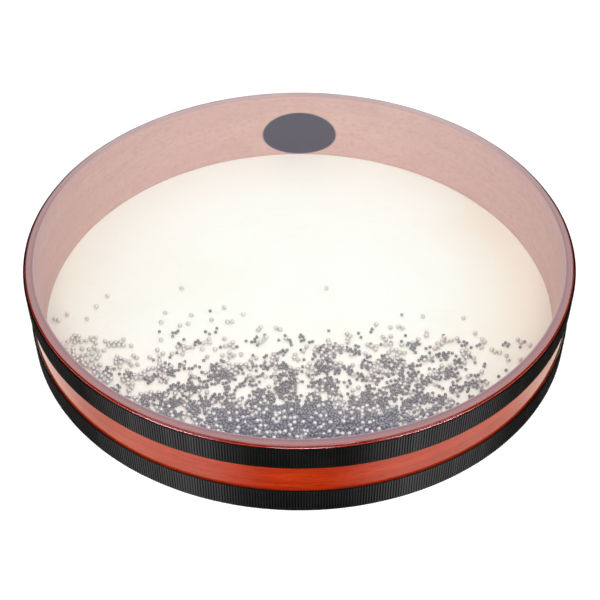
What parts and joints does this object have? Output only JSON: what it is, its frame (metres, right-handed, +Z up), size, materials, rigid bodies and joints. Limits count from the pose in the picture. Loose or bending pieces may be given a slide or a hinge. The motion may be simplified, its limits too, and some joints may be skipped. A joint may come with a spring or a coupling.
{
  "type": "ocean drum",
  "caption": "Round shallow frame drum with a clear film head on top, a skin head below and loose metal balls that roll between them like surf.",
  "frame": {"origin": "centre of the skin head's lower face, on which the drum lies", "axes": "+Z up through the film head, -Y towards the near side, where the balls lie, +X to the right seen from there"},
  "size_m": [0.4607, 0.4606, 0.0707],
  "materials": {
    "hoop_wood": "bent wood, mahogany-red gloss lacquer outside, plain inside",
    "film": "clear, slightly milky polyester film, stretched tight",
    "skin": "natural thin drum skin, cream, matt",
    "ribbon": "black ribbed ribbon",
    "staple_wire": "flat steel staple wire",
    "label_paper": "dark plain oval label",
    "dark_metal": "dark grey metal shot",
    "bright_metal": "polished steel balls"
  },
  "bodies": {
    "drum": {"hoop": "hoop_wood", "film_head": "film", "skin_head": "skin", "upper_tape": "ribbon", "lower_tape": "ribbon", "film_staples": "staple_wire", "skin_staples": "staple_wire", "inside_label": "label_paper"},
    "swirling_balls": {"wave_balls_dark_left": "dark_metal", "wave_balls_bright_left": "bright_metal"},
    "hopping_balls": {"wave_balls_dark_right": "dark_metal", "wave_balls_bright_right": "bright_metal"},
    "strip_1": {"wave_balls_dark_1": "dark_metal", "wave_balls_bright_1": "bright_metal"},
    "strip_2": {"wave_balls_dark_2": "dark_metal", "wave_balls_bright_2": "bright_metal"},
    "strip_3": {"wave_balls_dark_3": "dark_metal", "wave_balls_bright_3": "bright_metal"},
    "strip_4": {"wave_balls_dark_4": "dark_metal", "wave_balls_bright_4": "bright_metal"},
    "strip_5": {"wave_balls_dark_5": "dark_metal", "wave_balls_bright_5": "bright_metal"},
    "strip_6": {"wave_balls_dark_6": "dark_metal", "wave_balls_bright_6": "bright_metal"},
    "strip_7": {"wave_balls_dark_7": "dark_metal", "wave_balls_bright_7": "bright_metal"},
    "strip_8": {"wave_balls_dark_8": "dark_metal", "wave_balls_bright_8": "bright_metal"}
  },
  "joints": [
    {"name": "swirl", "type": "hinge", "parent": "drum", "child": "swirling_balls", "pos_m": [0, 0, 0.0026], "axis": [0, 0, 1], "continuous": true},
    {"name": "hop", "type": "slide", "parent": "swirling_balls", "child": "hopping_balls", "axis": [0, 0, 1], "range_m": [0, 0.0625]},
    {"name": "wave_1", "type": "slide", "parent": "hopping_balls", "child": "strip_1", "axis": [0, 1, 0], "range_m": [0, 0.20815]},
    {"name": "wave_2", "type": "slide", "parent": "hopping_balls", "child": "strip_2", "axis": [0, 1, 0], "range_m": [0, 0.17615]},
    {"name": "wave_3", "type": "slide", "parent": "hopping_balls", "child": "strip_3", "axis": [0, 1, 0], "range_m": [0, 0.22015]},
    {"name": "wave_4", "type": "slide", "parent": "hopping_balls", "child": "strip_4", "axis": [0, 1, 0], "range_m": [0, 0.2528]},
    {"name": "wave_5", "type": "slide", "parent": "hopping_balls", "child": "strip_5", "axis": [0, 1, 0], "range_m": [0, 0.20325]},
    {"name": "wave_6", "type": "slide", "parent": "hopping_balls", "child": "strip_6", "axis": [0, 1, 0], "range_m": [0, 0.24115]},
    {"name": "wave_7", "type": "slide", "parent": "hopping_balls", "child": "strip_7", "axis": [0, 1, 0], "range_m": [0, 0.21365]},
    {"name": "wave_8", "type": "slide", "parent": "hopping_balls", "child": "strip_8", "axis": [0, 1, 0], "range_m": [0, 0.19085]}
  ],
  "couplings": [
    {"joint": "wave_1", "follows": "wave_4", "ratio": 0.82318},
    {"joint": "wave_2", "follows": "wave_4", "ratio": 0.6966},
    {"joint": "wave_3", "follows": "wave_4", "ratio": 0.87065},
    {"joint": "wave_5", "follows": "wave_4", "ratio": 0.8038},
    {"joint": "wave_6", "follows": "wave_4", "ratio": 0.95372},
    {"joint": "wave_7", "follows": "wave_4", "ratio": 0.84494},
    {"joint": "wave_8", "follows": "wave_4", "ratio": 0.75475}
  ]
}
